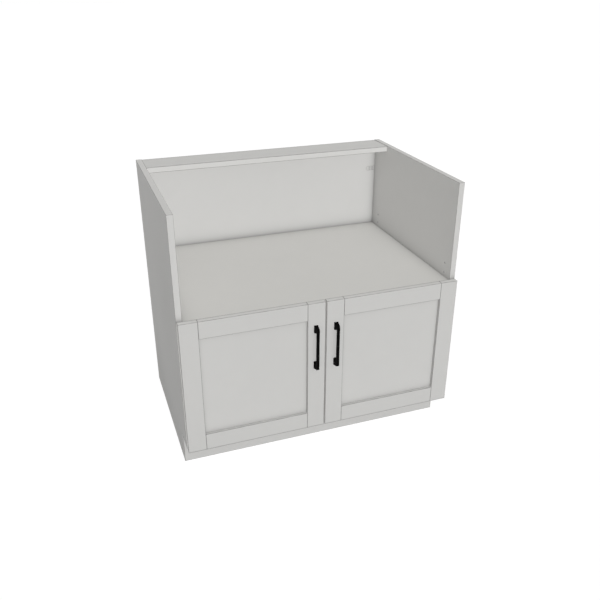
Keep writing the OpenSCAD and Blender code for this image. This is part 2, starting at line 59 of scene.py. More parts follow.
camera = bpy.data.cameras.new("photo_view")
camera.sensor_width = sensor_w
camera.lens = focal_px * sensor_w / photo_px
viewpoint = bpy.data.objects.new("photo_view", camera)
viewpoint.location = cam_place
viewpoint.rotation_euler = (quarter_turn - cam_down, 0, -cam_turn)
bpy.context.scene.collection.objects.link(viewpoint)
bpy.context.scene.camera = viewpoint
bpy.context.scene.view_settings.view_transform = "Standard"


# Studio
# A pale dome, a pale floor and six soft lamps. The dome and the floor are white where the
# camera or a reflection sees them, and the floor keeps a faint shadow.
dome_level = 0.3
dome_tint = (1.0, 0.995, 0.965)
floor_bounce = 0.1
floor_keeps = 0.3
floor_glow = 0.76
floor_half = 30
lamp_tint = (0.99, 0.995, 1.0)
# Name, level, degrees to the right of the front, degrees up, spread in degrees, casts a shadow
lamps = (
    ("front_lamp", 0.08, 0, 29, 50, True),
    ("front_fill", 0.9, 0, 29, 10, False),
    ("left_fill", 0.27, -90, 0, 10, False),
    ("right_fill", 0.27, 90, 0, 10, False),
    ("rear_fill", 0.45, 180, 0, 10, False),
    ("top_fill", 0.08, 0, 90, 10, False),
)


def plain_shader(tree, kind, tint=(1, 1, 1), level=1.0, strength=None):
    """Shader of one colour, a tint times a level. Its strength is set where it has one."""
    shader = tree.nodes.new(kind)
    shader.inputs["Color"].default_value = (*(level * part for part in tint), 1)
    if strength is not None:
        shader.inputs["Strength"].default_value = strength
    return shader.outputs[0]


def seen_rays(tree):
    """1 for the rays of the camera, of gloss and of transmission, and 0 for the others."""
    path = tree.nodes.new("ShaderNodeLightPath")
    total = path.outputs["Is Camera Ray"]
    for ray in ("Is Glossy Ray", "Is Transmission Ray"):
        either = tree.nodes.new("ShaderNodeMath")
        either.operation = "MAXIMUM"
        tree.links.new(total, either.inputs[0])
        tree.links.new(path.outputs[ray], either.inputs[1])
        total = either.outputs[0]
    return total


def show_by_ray(tree, lit, shown, end):
    """Links two shaders to the end of a tree: one that lights the cabinet, and one that the
    camera and reflections see."""
    mix = tree.nodes.new("ShaderNodeMixShader")
    tree.links.new(seen_rays(tree), mix.inputs["Fac"])
    tree.links.new(lit, mix.inputs[1])
    tree.links.new(shown, mix.inputs[2])
    tree.links.new(mix.outputs[0], end.inputs["Surface"])


def make_dome():
    """World that lights at dome_level and shows plain white."""
    world = bpy.data.worlds.new("pale_dome")
    world.use_nodes = True
    bpy.context.scene.world = world
    tree = world.node_tree
    tree.nodes.clear()
    lit = plain_shader(tree, "ShaderNodeBackground", dome_tint, strength=dome_level)
    white = plain_shader(tree, "ShaderNodeBackground")
    show_by_ray(tree, lit, white, tree.nodes.new("ShaderNodeOutputWorld"))


def new_material(name):
    """An empty node material: returns it, its node tree and its output node."""
    material = bpy.data.materials.new(name)
    material.use_nodes = True
    tree = material.node_tree
    tree.nodes.clear()
    return material, tree, tree.nodes.new("ShaderNodeOutputMaterial")


def make_floor():
    """Flat floor whose glow makes it white, and whose diffuse share holds the shadow."""
    corners = np.array([[-1, -1, 0], [1, -1, 0], [1, 1, 0], [-1, 1, 0]]) * floor_half
    mesh = bpy.data.meshes.new("studio_floor")
    mesh.from_pydata(corners.tolist(), [], [(0, 1, 2, 3)])
    material, tree, out = new_material("studio_floor")
    bounce = plain_shader(tree, "ShaderNodeBsdfDiffuse", level=floor_bounce)
    shadow = plain_shader(tree, "ShaderNodeBsdfDiffuse", level=floor_keeps)
    glow = plain_shader(tree, "ShaderNodeEmission", strength=floor_glow)
    both = tree.nodes.new("ShaderNodeAddShader")
    tree.links.new(shadow, both.inputs[0])
    tree.links.new(glow, both.inputs[1])
    show_by_ray(tree, bounce, both.outputs[0], out)
    mesh.materials.append(material)
    floor = bpy.data.objects.new("studio_floor", mesh)
    bpy.context.scene.collection.objects.link(floor)


def make_lamp(name, level, turn, rise, spread, casts):
    """Sun whose level is the share of a colour that it shows on a face square to it. One
    that casts no shadow doesn't show in gloss either."""
    lamp = bpy.data.lights.new(name, "SUN")
    lamp.energy = level * math.pi
    lamp.color = lamp_tint
    lamp.angle = math.radians(spread)
    lamp.use_shadow = casts
    lit_from = bpy.data.objects.new(name, lamp)
    lit_from.visible_glossy = casts
    lit_from.rotation_euler = (quarter_turn - math.radians(rise), 0, math.radians(turn))
    bpy.context.scene.collection.objects.link(lit_from)


make_dome()
make_floor()
for lamp in lamps:
    make_lamp(*lamp)


# Side panels
# Two painted boards that stand on the floor and reach the worktop, notched for the toe
# space and doweled to the boards between them. Each is bored on its inner face: four small
# holes above the deck for supports.
MM = 0.001
SIDES = ("left", "right")
# The number of each axis, and of the two that follow it
AXES = {"x": (0, 1, 2), "y": (1, 2, 0), "z": (2, 0, 1)}
hole_r = 2.5 * MM
hole_deep = 13 * MM
hole_from_front = 37 * MM
hole_from_rear = 65 * MM
hole_up = 14.5 * MM
hole_pitch = 32 * MM

# Edges: how far they are eased, the lip of an opening, and the width over which the darker
# line along an edge fades, at most this share of a short edge
ease = 0.7 * MM
lip = 0.35 * MM
edge_strip = 1.2 * MM
side_strip = 0.2 * MM
margin_share = 0.3
bend_steps = 4
ring_count = 32
weld = 0.002 * MM
sharp_from = math.radians(35)

# Paint. A noise is its waves per metre, its detail and its roughness, and most of it lies in
# noise_span. A bump is its depth and its strength.
paint_colour = (0.545, 0.54, 0.528)
edge_colour = (0.22, 0.217, 0.21)
noise_span = (0.3, 0.7)
slow_cloud = (2.3, 3.0)
quick_cloud = (23.0, 4.0, 0.6)
slow_share = 0.6
mottle_depth = 0.08
line_cloud = (60.0, 3.0)
line_span = (0.35, 0.6)
line_keeps = (0.75, 1.0)
paint_gloss = 0.1
paint_rough = (0.44, 0.54)
spray_fine = (700.0, 2.0, 0.55)
spray_wave = (120.0, 1.0)
fine_share = 0.4
spray_bump = (0.03 * MM, 0.6)

# Shades: the share of light that is lost at a line, below zero where it gains, and the
# distance in which that falls to about a third
side_by_deck, side_over_deck = (0.28, 16 * MM), (0.11, 120 * MM)
side_by_back, side_near_back = (0.3, 17 * MM), (0.07, 250 * MM)
side_from_front = (-0.15, 350 * MM)
side_over_floor = (0.25, 450 * MM)
edge_behind_door = (0.5, 10 * MM)
edge_painted_light = (-0.04, 10 * MM)


def rectangle(low, high):
    """Corners of a rectangle, counterclockwise, from two opposite ones."""
    return np.array([low, (high[0], low[1]), high, (low[0], high[1])], float)


def cross(first, second):
    """Product of two flat directions that is above zero where the second turns left."""
    return first[..., 0] * second[..., 1] - first[..., 1] * second[..., 0]


def opening(shape, depth, rim=lip, strip=edge_strip, capped=True):
    """Opening in a flat face: its shape, its depth (below zero for a tongue that stands out,
    None for a hole that the far face closes), its lip, the width over which the darker edge
    fades round it, and whether it has a bottom."""
    return shape, depth, rim, strip, capped


def disc(at, radius):
    """Round opening: a function that gives its ring of points, moved outwards by a distance."""
    angle = np.arange(ring_count) * 2 * math.pi / ring_count
    around = np.stack([np.cos(angle), np.sin(angle)], axis=1)
    return lambda out: np.array(at) + (radius + out) * around


class Shell:
    """Closed surface put together from grids and flat faces, with a mask on its points that
    is 1 on an edge and 0 away from it."""

    def __init__(self):
        self.points, self.masks, self.faces, self.count = [], [], [], 0

    def add(self, points, masks, faces):
        """Adds points, their masks and faces that number these points from 0."""
        self.points.append(points.reshape(-1, 3))
        self.masks.append(np.broadcast_to(masks, points.shape[:-1]).reshape(-1))
        self.faces += [tuple(np.array(f) + self.count) for f in faces]
        self.count += self.points[-1].shape[0]

    def add_grid(self, points, masks, back=False, skip=()):
        """Adds a grid of points, row by row, whose last column joins its first. back turns
        its faces round. Skipped cells are pairs of row and column."""
        rows, columns = points.shape[:2]
        row, column = np.meshgrid(np.arange(rows - 1), np.arange(columns), indexing="ij")
        ahead = (column + 1) % columns
        quads = np.stack([row * columns + column, row * columns + ahead,
                          (row + 1) * columns + ahead, (row + 1) * columns + column], axis=-1)
        for cell in skip:
            quads[cell] = -1
        quads = quads.reshape(-1, 4)
        quads = quads[quads[:, 0] >= 0]
        self.add(points, masks, quads[:, ::-1] if back else quads)

    def object(self, name):
        """Merges the seams, and returns the surface as a Blender object."""
        mesh = bpy.data.meshes.new(name)
        mesh.from_pydata(np.concatenate(self.points).tolist(), [], self.faces)
        mask = mesh.attributes.new("edge", "FLOAT", "POINT")
        mask.data.foreach_set("value", np.concatenate(self.masks).astype(np.float32))
        merged = bmesh.new()
        merged.from_mesh(mesh)
        bmesh.ops.remove_doubles(merged, verts=merged.verts, dist=weld)
        merged.to_mesh(mesh)
        merged.free()
        mesh.shade_smooth()
        mesh.set_sharp_from_angle(angle=sharp_from)
        piece = bpy.data.objects.new(name, mesh)
        bpy.context.scene.collection.objects.link(piece)
        return piece


def add_flat_face(shell, origin, u, v, normal, border, cuts, back=False):
    """Flat face in the plane of u and v, pierced by openings. Round each runs a strip where
    the mask falls to 0, then its lip as a quarter round, then its wall."""
    rings = [border] + [shape(rim + strip) for shape, depth, rim, strip, capped in cuts]
    flat = np.concatenate(rings)
    order = np.array(tessellate_polygon([[Vector((*p, 0)) for p in ring] for ring in rings]))
    a, b, c = (flat[order[:, i]] for i in range(3))
    if (cross(b - a, c - a).sum() > 0) == back:
        order = order[:, ::-1]
    shell.add(origin + flat[:, :1] * u + flat[:, 1:] * v, 0.0, order)
    for shape, depth, rim, strip, capped in cuts:
        bend = np.linspace(0, quarter_turn, bend_steps + 1) if rim else np.zeros(1)
        outs = np.concatenate([[rim + strip], rim * (1 - np.sin(bend))])
        drops = np.concatenate([[0], rim * (1 - np.cos(bend))])
        if depth is not None:
            outs, drops = np.append(outs, 0), np.append(drops, depth)
        masks = np.ones(len(outs))
        masks[0] = 0
        loops = np.stack([shape(out) for out in outs])
        grid = origin + loops[..., :1] * u + loops[..., 1:] * v - drops[:, None, None] * normal
        shell.add_grid(grid, masks[:, None], back=back)
        if depth is not None and capped:
            last = np.arange(grid.shape[1])
            shell.add(grid[-1], 1.0, [last[::-1] if back else last])


def outline_corners(outline, round_off, strip):
    """What the rings round an outline need of its corners. ahead and out are the directions
    of the edge that leaves a corner and of its outward side. drawn_in is the corner moved in
    by the ease, and mitre the way out from there to both edges at once. The points of a
    corner move along outwards, which is an arc at an outer corner and the mitre at an inner
    one, and the first and the last of them are shifted a strip along the edges."""
    step = np.roll(outline, -1, axis=0) - outline
    length = np.linalg.norm(step, axis=1)
    ahead = step / length[:, None]
    behind = np.roll(ahead, 1, axis=0)
    out = np.stack([ahead[:, 1], -ahead[:, 0]], axis=1)
    out_behind = np.roll(out, 1, axis=0)
    mitre = (out + out_behind) / (1 + (out * out_behind).sum(1))[:, None]
    turn = np.arctan2(cross(behind, ahead), (behind * ahead).sum(1))
    share = np.linspace(0, 1, bend_steps + 1)
    angle = np.arctan2(out_behind[:, 1], out_behind[:, 0])[:, None] + turn[:, None] * share
    arc = np.stack([np.cos(angle), np.sin(angle)], axis=-1)
    arc = np.where((turn > 0)[:, None, None], arc, mitre[:, None])
    outwards = np.concatenate([arc[:, :1], arc, arc[:, -1:]], axis=1)
    shift = np.zeros_like(outwards)
    margin = np.minimum(strip, margin_share * length)[:, None]
    shift[:, 0], shift[:, -1] = -np.roll(margin, 1, axis=0) * behind, margin * ahead
    return SimpleNamespace(
        ahead=ahead, out=out, drawn_in=outline - round_off * mitre, mitre=mitre,
        outwards=outwards, shift=shift, sharp=np.abs(turn) > sharp_from)


def ring_profile(low, high, round_off, strip, far_strip):
    """The rings of a board from its low face to its high one: how far each moves out from
    the drawn-in outline along a quarter circle, its height and its mask. The first and the
    last lie inside the faces, and the middle pair bounds the plain part of the rim."""
    bend = np.linspace(0, quarter_turn, bend_steps + 1)
    rise, drop = round_off * np.sin(bend), round_off * (1 - np.cos(bend))
    moves = np.concatenate([[-strip], rise, [round_off] * 2, rise[::-1], [-strip]])
    heights = np.concatenate([
        [low], low + drop, [low + round_off + strip, high - round_off - far_strip],
        high - drop[::-1], [high]])
    middle = len(moves) // 2 - 1
    masks = np.ones(len(moves))
    masks[[0, middle, middle + 1, -1]] = 0
    return moves, heights, masks, middle


def board_shell(outline, low, high, axis, cuts=None, shell=None, round_off=ease,
                strip=edge_strip, far_strip=None):
    """Board of any outline with its edges eased, as rings round the outline. It lies in the
    two directions that follow the axis, counterclockwise. cuts maps "low", "high" or the
    number of a rim to its openings; a rim's own plane has the distance from its first
    corner and the coordinate along the axis. far_strip is the strip's width next to the
    high face, where that differs."""
    cuts = cuts or {}
    shell = shell or Shell()
    outline = np.asarray(outline, float)
    corner = outline_corners(outline, round_off, strip)
    moves, heights, ring_mask, middle = ring_profile(
        low, high, round_off, strip, far_strip or strip)
    move = moves[:, None, None, None]
    flat = corner.drawn_in[:, None] + np.maximum(move, 0) * corner.outwards
    flat = flat + np.minimum(move, 0) * corner.mitre[:, None]
    flat = flat + np.where(move < 0, 0, 1) * corner.shift
    corner_mask = np.zeros(corner.outwards.shape[:2])
    corner_mask[:, 1:-1] = corner.sharp[:, None]
    mask = np.maximum(ring_mask[:, None, None], corner_mask)
    mask = np.where(move[..., 0] < 0, 0, mask)
    along, first, second = AXES[axis]
    points = np.zeros((*flat.shape[:3], 3))
    points[..., first], points[..., second] = flat[..., 0], flat[..., 1]
    points[..., along] = heights[:, None, None]
    corners, samples = corner.outwards.shape[:2]
    rims = [key for key in cuts if isinstance(key, int)]
    skip = [(middle, key * samples + samples - 1) for key in rims]
    grid = points.reshape(len(moves), corners * samples, 3)
    shell.add_grid(grid, mask.reshape(len(moves), -1), skip=skip)
    base = np.eye(3)
    for face, row, back in (("low", 0, True), ("high", -1, False)):
        normal = base[along] * (-1 if back else 1)
        add_flat_face(shell, base[along] * heights[row], base[first], base[second], normal,
                      flat[row, :, 0], cuts.get(face, ()), back)
    for key in rims:
        start, u, normal = (
            pair @ base[[first, second]]
            for pair in (outline[key], corner.ahead[key], corner.out[key]))
        ends = [
            (flat[middle, at, sample] - outline[key]) @ corner.ahead[key]
            for at, sample in ((key, -1), ((key + 1) % corners, 0))]
        border = rectangle((ends[0], heights[middle]), (ends[1], heights[middle + 1]))
        add_flat_face(shell, start, u, base[along], normal, border, cuts[key])
    return shell


def new_group(name, inputs, outputs):
    """An empty shader node group with these sockets: returns it, its input and its output."""
    group = bpy.data.node_groups.new(name, "ShaderNodeTree")
    kinds = {"colour": "NodeSocketColor", "value": "NodeSocketFloat"}
    for direction, sockets in (("INPUT", inputs), ("OUTPUT", outputs)):
        for title, kind, start in sockets:
            socket = group.interface.new_socket(title, in_out=direction, socket_type=kinds[kind])
            if start is not None:
                socket.default_value = (*start, 1) if kind == "colour" else start
    return group, group.nodes.new("NodeGroupInput"), group.nodes.new("NodeGroupOutput")


def place_group(tree, group, **values):
    """Puts a group into a material with its own values."""
    node = tree.nodes.new("ShaderNodeGroup")
    node.node_tree = group
    for title, value in values.items():
        slot = node.inputs[title.replace("_", " ")]
        slot.default_value = (*value, 1) if isinstance(value, tuple) else value
    return node


def add_noise(tree, scale, detail=2.0, rough=0.5, stretch=None):
    """Noise on Object coordinates. stretch scales the axes, for a grain."""
    where = tree.nodes.new("ShaderNodeTexCoord").outputs["Object"]
    if stretch:
        mapping = tree.nodes.new("ShaderNodeMapping")
        mapping.inputs["Scale"].default_value = stretch
        tree.links.new(where, mapping.inputs["Vector"])
        where = mapping.outputs[0]
    noise = tree.nodes.new("ShaderNodeTexNoise")
    noise.inputs["Scale"].default_value = scale
    noise.inputs["Detail"].default_value = detail
    noise.inputs["Roughness"].default_value = rough
    tree.links.new(where, noise.inputs["Vector"])
    return noise.outputs["Fac"]


def remap(tree, value, span, onto=(0.0, 1.0)):
    """Value taken from one range into another, and held inside it."""
    node = tree.nodes.new("ShaderNodeMapRange")
    for slot, number in zip(("From Min", "From Max", "To Min", "To Max"), (*span, *onto)):
        node.inputs[slot].default_value = number
    tree.links.new(value, node.inputs["Value"])
    return node.outputs["Result"]


def combine(tree, operation, *values):
    """Math node on one or two values, each a socket or a number."""
    node = tree.nodes.new("ShaderNodeMath")
    node.operation = operation
    for slot, value in zip(node.inputs, values):
        if isinstance(value, (int, float)):
            slot.default_value = value
        else:
            tree.links.new(value, slot)
    return node.outputs[0]


def weigh(tree, first, second, share):
    """Mean of two values, in which the first counts for a share."""
    return combine(tree, "ADD", combine(tree, "MULTIPLY", first, share),
                   combine(tree, "MULTIPLY", second, 1 - share))


def tone(tree, colour, value):
    """Colour times a value."""
    node = tree.nodes.new("ShaderNodeVectorMath")
    node.operation = "SCALE"
    tree.links.new(colour, node.inputs[0])
    tree.links.new(value, node.inputs["Scale"])
    return node.outputs[0]


# The Mix node has sockets for each kind of data. These are the ones for colours.
MIX_COLOURS = (6, 7)
MIX_RESULT = 2


def blend_colours(tree, share, first, second):
    """First colour where the share is 0, second where it is 1."""
    node = tree.nodes.new("ShaderNodeMix")
    node.data_type = "RGBA"
    tree.links.new(share, node.inputs["Factor"])
    for number, value in zip(MIX_COLOURS, (first, second)):
        if isinstance(value, tuple):
            node.inputs[number].default_value = (*value, 1)
        else:
            tree.links.new(value, node.inputs[number])
    return node.outputs[MIX_RESULT]


def make_mottle():
    """Group that varies a colour a little, slowly over a board and quickly over a hand's
    width, and that goes over to an edge colour where the mesh's edge mask says so."""
    group, given, result = new_group(
        "mottle",
        [("Colour", "colour", paint_colour), ("Edge colour", "colour", edge_colour),
         ("Depth", "value", mottle_depth)],
        [("Colour", "colour", None), ("Edge", "value", None), ("Patch", "value", None)])
    patch = weigh(group, add_noise(group, *slow_cloud), add_noise(group, *quick_cloud), slow_share)
    centred = combine(group, "SUBTRACT", patch, 0.5)
    swing = combine(group, "MULTIPLY", centred, given.outputs["Depth"])
    varied = tone(group, given.outputs["Colour"], combine(group, "ADD", swing, 1.0))
    mark = group.nodes.new("ShaderNodeAttribute")
    mark.attribute_name = "edge"
    broken = remap(group, add_noise(group, *line_cloud), line_span, line_keeps)
    edge = combine(group, "MULTIPLY", mark.outputs["Fac"], broken)
    colour = blend_colours(group, edge, varied, given.outputs["Edge colour"])
    group.links.new(colour, result.inputs["Colour"])
    group.links.new(edge, result.inputs["Edge"])
    group.links.new(patch, result.inputs["Patch"])
    return group


def distance_from(tree, axis, place, half=None):
    """Distance of a point from a plane across an axis or, given a half thickness, from a slab
    round that plane. Across x there is one on either side of the middle."""
    split = tree.nodes.new("ShaderNodeSeparateXYZ")
    tree.links.new(tree.nodes.new("ShaderNodeTexCoord").outputs["Object"], split.inputs[0])
    along = split.outputs["xyz".index(axis)]
    if axis == "x":
        along = combine(tree, "ABSOLUTE", along)
    away = combine(tree, "ABSOLUTE", combine(tree, "SUBTRACT", along, place))
    if half is None:
        return away
    return combine(tree, "MAXIMUM", combine(tree, "SUBTRACT", away, half), 0.0)


def make_joint_shade(name, face, joints):
    """Group of painted shade on one face of a board. It darkens the face towards lines, such as
    those where other boards meet it, and where a loss is below zero it lightens it as painted
    light. The face is an axis and a place on it. Each joint has these too, and its shade. A bar
    that stands off the face also has an axis, a middle and a half length along it. The loss
    of light falls with the distance as an exponential."""
    group, _, result = new_group(name, [], [("Shade", "value", None)])
    kept = 1.0
    for axis, place, loss, fade, *slab in joints:
        away = distance_from(group, axis, place)
        if slab:
            aside = combine(group, "POWER", distance_from(group, *slab), 2.0)
            away = combine(group, "ADD", combine(group, "POWER", away, 2.0), aside)
            away = combine(group, "SQRT", away)
        left = combine(group, "EXPONENT", combine(group, "MULTIPLY", away, -1 / fade))
        lost = combine(group, "MULTIPLY", left, loss)
        kept = combine(group, "MULTIPLY", combine(group, "SUBTRACT", 1.0, lost), kept)
    on_face = combine(group, "LESS_THAN", distance_from(group, *face), ease)
    change = combine(group, "MULTIPLY", on_face, combine(group, "SUBTRACT", kept, 1.0))
    group.links.new(combine(group, "ADD", change, 1.0), result.inputs["Shade"])
    return group


def new_finish(name):
    """A material with one Principled shader: returns it, its node tree and the shader."""
    material, tree, out = new_material(name)
    shader = tree.nodes.new("ShaderNodeBsdfPrincipled")
    tree.links.new(shader.outputs[0], out.inputs["Surface"])
    return material, tree, shader


def link_finish(tree, shader, colour, rough, height, depth, strength):
    """Links a colour, a roughness and a bump of a real depth, in metres, to a shader."""
    bump = tree.nodes.new("ShaderNodeBump")
    bump.inputs["Distance"].default_value = depth
    bump.inputs["Strength"].default_value = strength
    tree.links.new(height, bump.inputs["Height"])
    tree.links.new(bump.outputs["Normal"], shader.inputs["Normal"])
    tree.links.new(colour, shader.inputs["Base Color"])
    tree.links.new(rough, shader.inputs["Roughness"])


mottle = make_mottle()


def make_paint(name, colour, *shades):
    """Satin cabinet paint: an even warm light grey, the fine skin that a spray gun leaves,
    slightly darker arrises, and shades towards the joints."""
    material, tree, shader = new_finish(name)
    shader.inputs["Specular IOR Level"].default_value = paint_gloss
    skin = place_group(tree, mottle, Colour=colour, Edge_colour=edge_colour, Depth=mottle_depth)
    painted = skin.outputs["Colour"]
    for shade in shades:
        painted = tone(tree, painted, place_group(tree, shade).outputs["Shade"])
    rough = remap(tree, skin.outputs["Patch"], noise_span, paint_rough)
    fine = combine(tree, "MULTIPLY", add_noise(tree, *spray_fine), fine_share)
    height = combine(tree, "ADD", fine, add_noise(tree, *spray_wave))
    link_finish(tree, shader, painted, rough, height, *spray_bump)
    return material


def finish_piece(piece, body, material, node):
    """Gives a new piece its material and its body, and hides the CAD node that it stands for."""
    piece.data.materials.append(material)
    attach(piece, body)
    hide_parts(node)


deck_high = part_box("sink_deck")[1]
toe_low, toe_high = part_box("toe_kick")
back_low, back_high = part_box("back_panel")
left_low, left_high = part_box("side_left")
door_low, door_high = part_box("right_pull_stile")
side_in, side_out = deck_high.x, -left_low.x
# Painted shade by the deck, the back, the floor and the door's top; painted light towards the
# front, on the front edge and on the top face
side_paint = make_paint(
    "side_paint", paint_colour,
    make_joint_shade("recess_side", ("x", side_in), (
        ("z", deck_high.z, *side_by_deck), ("y", back_low.y, *side_by_back),
        ("z", deck_high.z, *side_over_deck), ("y", back_low.y, *side_near_back),
        ("y", left_low.y, *side_from_front))),
    make_joint_shade("outer_side", ("x", side_out), (("z", 0.0, *side_over_floor),)),
    make_joint_shade("front_edge", ("y", left_low.y), (
        ("z", door_high.z, *edge_behind_door), ("y", left_low.y, *edge_painted_light))),
    make_joint_shade("top_edge", ("z", left_high.z), (("z", left_high.z, *edge_painted_light),)))
for side in SIDES:
    low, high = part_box(f"side_{side}")
    profile = np.array([
        (toe_high.y, low.z), (high.y, low.z), (high.y, high.z), (low.y, high.z),
        (low.y, toe_high.z), (toe_high.y, toe_high.z)])
    holes = [
        opening(disc((y, deck_high.z + up), hole_r), hole_deep)
        for y in (low.y + hole_from_front, high.y - hole_from_rear)
        for up in (hole_up, hole_up + hole_pitch)]
    inner_face = "high" if side == "left" else "low"
    panel = board_shell(profile, low.x, high.x, "x", {inner_face: holes}, strip=side_strip)
    finish_piece(panel.object(f"side_panel_{side}"), "carcass", side_paint,
                 f"side_{side}")


# Plain carcass boards
# Bottom panel, deck, rail under the deck and toe kick board: straight painted boards that
# are doweled between the sides. Cam locks under the bottom panel pull it to them.
# A lighter copy of paint_colour: painted light on the deck
deck_painted_light_colour = (0.60, 0.592, 0.572)
deck_strip = 0.6 * MM
cam_r = 7.5 * MM
cam_bore_r = 7.55 * MM
cam_bore_deep = 14.3 * MM
cam_inset = 90 * MM
# Painted shade on the deck by the sides and the back, and on the toe kick under the doors
deck_joint, deck_line = (0.25, 18 * MM), (0.2, 4 * MM)
deck_near_side, deck_near_back = (0.02, 80 * MM), (0.12, 250 * MM)
toe_under_doors = (0.07, 150 * MM)


def plain_board(node, axis, name, cuts=None, paint=None, strip=edge_strip):
    """Board the size of its CAD node, with eased edges."""
    low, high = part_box(node)
    along, first, second = AXES[axis]
    outline = rectangle((low[first], low[second]), (high[first], high[second]))
    board = board_shell(outline, low[along], high[along], axis, cuts, strip=strip).object(name)
    finish_piece(board, "carcass", paint or satin_paint, node)


def cam_bores(*places):
    """Bores for the cam locks under both ends of a board, at places from front to back."""
    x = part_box("cam_locks")[1].x - cam_r
    return [opening(disc((at, y), cam_bore_r), cam_bore_deep) for at in (-x, x) for y in places]


satin_paint = make_paint("satin_paint", paint_colour)
bottom_low, bottom_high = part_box("bottom_panel")
bottom_cams = cam_bores(bottom_low.y + cam_inset, bottom_high.y - cam_inset)
plain_board("bottom_panel", "z", "cupboard_floor", {"low": bottom_cams})
deck_paint = make_paint("deck_paint", deck_painted_light_colour, make_joint_shade(
    "deck_joints", ("z", deck_high.z), (
        ("x", side_in, *deck_joint), ("y", back_low.y, *deck_joint),
        ("x", side_in, *deck_line), ("y", back_low.y, *deck_line),
        ("x", side_in, *deck_near_side), ("y", back_low.y, *deck_near_back))))
plain_board("sink_deck", "z", "sink_deck_board", paint=deck_paint, strip=deck_strip)
plain_board("deck_rail", "y", "rail_under_deck")
toe_paint = make_paint("toe_paint", paint_colour, make_joint_shade(
    "toe_front", ("y", toe_low.y), (("z", toe_high.z, *toe_under_doors),)))
plain_board("toe_kick", "y", "toe_kick_board", paint=toe_paint)


# Back
# Painted board between the sides. Near each upper corner a port of three overlapping bores
# runs into the side panel. Each is closed by a flush plug of five loose tiles, so that the
# outlines of the bores show.
bores = 3
port_r = 8.2 * MM
port_pitch = 11 * MM
port_in = 27 * MM
port_down = 106 * MM
port_room = 0.15 * MM
plug_t = 9 * MM
plug_ease = 0.25 * MM
plug_strip = 0.9 * MM
back_ease = 0.25 * MM
back_strip = 0.3 * MM
arc_step = math.radians(15)
arc_least = 3
half_turn = math.pi
# A darker copy of paint_colour: painted shade on the back and its plugs
back_painted_shade_colour = (0.483, 0.479, 0.47)
# Painted shade by the deck and the sides, and painted light in wider bands by the sides and under
# the stretcher
back_by_deck, back_by_side = (0.45, 14 * MM), (0.42, 11 * MM)
back_near_side, back_by_stretcher = (-0.04, 120 * MM), (-0.08, 60 * MM)


def arc_points(at, radius, start, end):
    """Points along an arc, both ends included, in steps of about arc_step."""
    count = max(arc_least, round(abs(end - start) / arc_step) + 1)
    angle = np.linspace(start, end, count)
    return np.array(at) + radius * np.stack([np.cos(angle), np.sin(angle)], axis=1)


def chain(*arcs):
    """Outline from arcs, or single points, that start where the arc before ends."""
    return np.concatenate([arc[:-1] if len(arc) > 1 else arc for arc in arcs])


def lean(radius, other):
    """Angle at a circle's centre between its neighbour and the point where they cross."""
    reach_in = (port_pitch ** 2 + radius ** 2 - other ** 2) / (2 * port_pitch)
    return math.acos(reach_in / radius)


def bore_centres(height):
    """Centres of the right port's bores, from the middle outwards. Heights come first in
    each pair, as in all outlines of the back."""
    return [(height, side_in - port_in + i * port_pitch) for i in range(bores)]


def port_notch(height, limit):
    """The port as a notch in an edge that runs down at the distance limit: points from its
    upper mouth round the three bores to its lower mouth."""
    at = bore_centres(height)
    cross_at = lean(port_r, port_r)
    mouth = math.asin((limit - at[2][1]) / port_r)
    return chain(
        arc_points(at[2], port_r, mouth, cross_at - quarter_turn),
        arc_points(at[1], port_r, quarter_turn - cross_at, cross_at - quarter_turn),
        arc_points(at[0], port_r, quarter_turn - cross_at, cross_at - quarter_turn - half_turn),
        arc_points(at[1], port_r, -quarter_turn - cross_at, cross_at - quarter_turn - half_turn),
        arc_points(at[2], port_r, -quarter_turn - cross_at, -half_turn - mouth),
        np.array([[height - port_r * math.cos(mouth), limit]]))


def plug_tiles(height, limit):
    """Outlines of the five tiles of the right plug: what the bores share with their
    neighbours as two lenses, and what is left of each bore."""
    at = bore_centres(height)
    small, large = port_r - port_room, port_r + port_room
    own, other, both = lean(small, large), lean(large, small), lean(small, small)
    mouth = math.asin((limit - at[2][1]) / small)
    towards, away, round_to = quarter_turn, -quarter_turn, 2 * half_turn - quarter_turn
    tiles = [
        chain(arc_points(at[0], small, towards + own, towards + 2 * half_turn - own),
              arc_points(at[1], large, away + other, away - other)),
        chain(arc_points(at[1], small, away + own, towards - own),
              arc_points(at[2], large, away + other, away - other),
              arc_points(at[1], small, towards + own, round_to - own),
              arc_points(at[0], large, towards + other, towards - other)),
        chain(arc_points(at[2], small, away + own, mouth),
              np.array([[height + small * math.cos(mouth), limit]]),
              arc_points(at[2], small, half_turn - mouth, round_to - own),
              arc_points(at[1], large, towards + other, towards - other))]
    for i in range(bores - 1):
        tiles.append(chain(arc_points(at[i], small, towards - both, towards + both),
                           arc_points(at[i + 1], small, away - both, away + both)))
    return tiles


def mirror_outline(outline):
    """The same outline on the left half, still counterclockwise."""
    return outline[::-1] * np.array([1, -1])


port_z = left_high.z - port_down
stretch_low, stretch_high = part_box("top_stretcher")
notch = port_notch(port_z, side_in)
corners = rectangle((back_low.z, -side_in), (back_high.z, side_in))
back_outline = np.concatenate([
    corners[1:3], notch, corners[3:], corners[:1], mirror_outline(notch)])
back_board = board_shell(back_outline, back_low.y, back_high.y, "y", round_off=back_ease,
                         strip=back_strip).object("back_board")
back_paint = make_paint("back_paint", back_painted_shade_colour, make_joint_shade(
    "back_joints", ("y", back_low.y), (
        ("z", deck_high.z, *back_by_deck), ("x", side_in, *back_by_side),
        ("x", side_in, *back_near_side), ("z", stretch_low.z, *back_by_stretcher))))
finish_piece(back_board, "carcass", back_paint, "back_panel")

tile_shell = Shell()
for tile in plug_tiles(port_z, side_in - port_room):
    for outline in (tile, mirror_outline(tile)):
        board_shell(outline, back_low.y, back_low.y + plug_t, "y", shell=tile_shell,
                    round_off=plug_ease, strip=plug_strip)
finish_piece(tile_shell.object("port_plug_tiles"), "carcass", back_paint,
             "port_plugs")
